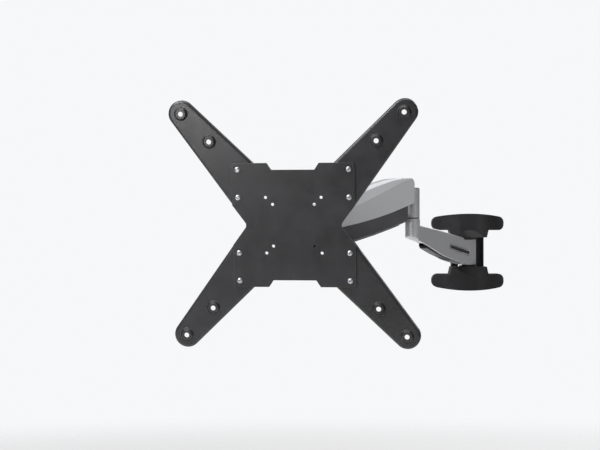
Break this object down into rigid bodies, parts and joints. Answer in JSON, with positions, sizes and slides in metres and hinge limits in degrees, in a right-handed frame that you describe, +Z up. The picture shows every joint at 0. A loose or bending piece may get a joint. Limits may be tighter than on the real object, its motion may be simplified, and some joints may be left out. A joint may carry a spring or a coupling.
{
  "type": "television wall mount",
  "caption": "Full motion wall mount: covered wall plate, folding wall arm, balanced spring arm with cable covers, and a tilting cross-armed screen plate.",
  "frame": {"origin": "centre of the wall plate's back face, on the wall", "axes": "+Z up, +Y into the wall, +X to the right for someone facing the wall; the screen side is -Y"},
  "size_m": [0.6414, 0.4758, 0.444],
  "materials": {
    "black_steel": "semi-gloss black powder coat on sheet steel",
    "silver_aluminium": "satin silver paint on cast aluminium",
    "black_plastic": "satin black moulded plastic",
    "zinc_steel": "bright zinc plate",
    "bright_rod": "hard chrome",
    "nylon": "black nylon",
    "badge": "blank black plate with a grey edge"
  },
  "bodies": {
    "wall_unit": {"wall_plate": "black_steel", "upper_pivot_ear": "black_steel", "lower_pivot_ear": "black_steel", "ear_rivets": "zinc_steel", "upper_wall_cover": "black_plastic", "lower_wall_cover": "black_plastic", "wall_pivot_pin": "zinc_steel", "wall_pivot_nut": "zinc_steel", "wall_pivot_washers": "nylon"},
    "wall_arm": {"wall_arm_casting": "silver_aluminium", "wall_pivot_bushes": "nylon", "wall_arm_cable_cover": "black_plastic", "name_badge": "badge", "elbow_pin": "zinc_steel"},
    "elbow": {"elbow_knuckle": "silver_aluminium", "elbow_bushes": "nylon", "elbow_washer": "nylon", "elbow_cap": "black_plastic", "rear_lower_pin": "zinc_steel", "spring_anchor_pin": "zinc_steel"},
    "spring_arm": {"spring_arm_shell": "silver_aluminium", "spring_arm_lower_cover": "black_plastic", "rear_upper_pin": "zinc_steel", "front_upper_pin": "zinc_steel", "spring_front_pin": "zinc_steel"},
    "parallel_link": {"lower_link": "zinc_steel"},
    "spring_cylinder": {"gas_spring_cylinder": "black_steel"},
    "spring_rod": {"gas_spring_rod": "bright_rod"},
    "head": {"head_knuckle": "silver_aluminium", "front_lower_pin": "zinc_steel", "swivel_bushes": "nylon"},
    "yoke": {"swivel_yoke": "black_steel", "swivel_pin": "zinc_steel", "swivel_nut": "zinc_steel", "swivel_washers": "nylon", "tilt_bolt": "zinc_steel", "tilt_nut": "zinc_steel", "tilt_washers": "nylon"},
    "tilt_head": {"tilt_bracket": "black_steel", "roll_washer": "nylon"},
    "screen_carrier": {"vesa_plate": "black_steel", "roll_stud": "zinc_steel", "roll_nut": "zinc_steel", "arm_top_right": "black_steel", "arm_top_left": "black_steel", "arm_bottom_right": "black_steel", "arm_bottom_left": "black_steel", "arm_screws": "zinc_steel", "arm_nuts": "zinc_steel"}
  },
  "joints": [
    {"name": "wall_pivot", "type": "hinge", "parent": "wall_unit", "child": "wall_arm", "pos_m": [0, -0.042, 0], "axis": [0, 0, 1], "range_deg": [-58.9, 121.1]},
    {"name": "elbow_pivot", "type": "hinge", "parent": "wall_arm", "child": "elbow", "pos_m": [-0.12411, -0.24742, 0.09], "axis": [0, 0, -1], "range_deg": [-124.3, 55.7]},
    {"name": "arm_lift", "type": "hinge", "parent": "elbow", "child": "spring_arm", "pos_m": [-0.14594, -0.2574, 0.118], "axis": [-0.4158, 0.9095, 0], "range_deg": [-10, 32]},
    {"name": "link_pivot", "type": "hinge", "parent": "elbow", "child": "parallel_link", "pos_m": [-0.14594, -0.2574, 0.082], "axis": [-0.4158, 0.9095, 0], "range_deg": [-10, 32]},
    {"name": "head_pivot", "type": "hinge", "parent": "spring_arm", "child": "head", "pos_m": [-0.30771, -0.33136, 0.06362], "axis": [-0.4158, 0.9095, 0], "range_deg": [-32, 10]},
    {"name": "spring_eye_pivot", "type": "hinge", "parent": "spring_arm", "child": "spring_cylinder", "pos_m": [-0.27586, -0.3168, 0.07223], "axis": [-0.4158, 0.9095, 0], "range_deg": [-0.5, 1.2]},
    {"name": "spring_stroke", "type": "slide", "parent": "spring_cylinder", "child": "spring_rod", "axis": [0.8928, 0.4082, 0.1906], "range_m": [-0.0035, 0.0106]},
    {"name": "swivel", "type": "hinge", "parent": "head", "child": "yoke", "pos_m": [-0.33499, -0.34383, 0.037], "axis": [0, 0, 1], "range_deg": [-134.4, 21.6]},
    {"name": "tilt", "type": "hinge", "parent": "yoke", "child": "tilt_head", "pos_m": [-0.34125, -0.38334, 0.0571], "axis": [0.9877, -0.1564, 0], "range_deg": [-12.6, 7.4]},
    {"name": "roll", "type": "hinge", "parent": "tilt_head", "child": "screen_carrier", "pos_m": [-0.34605, -0.41369, 0.053], "axis": [-0.1551, -0.979, -0.1323], "range_deg": [-3, 3]}
  ],
  "couplings": [
    {"joint": "link_pivot", "follows": "arm_lift", "ratio": 1},
    {"joint": "head_pivot", "follows": "arm_lift", "ratio": -1},
    {"joint": "spring_eye_pivot", "follows": "arm_lift", "ratio": 0.03297},
    {"joint": "spring_stroke", "follows": "arm_lift", "m_per_rad": 0.018552}
  ]
}
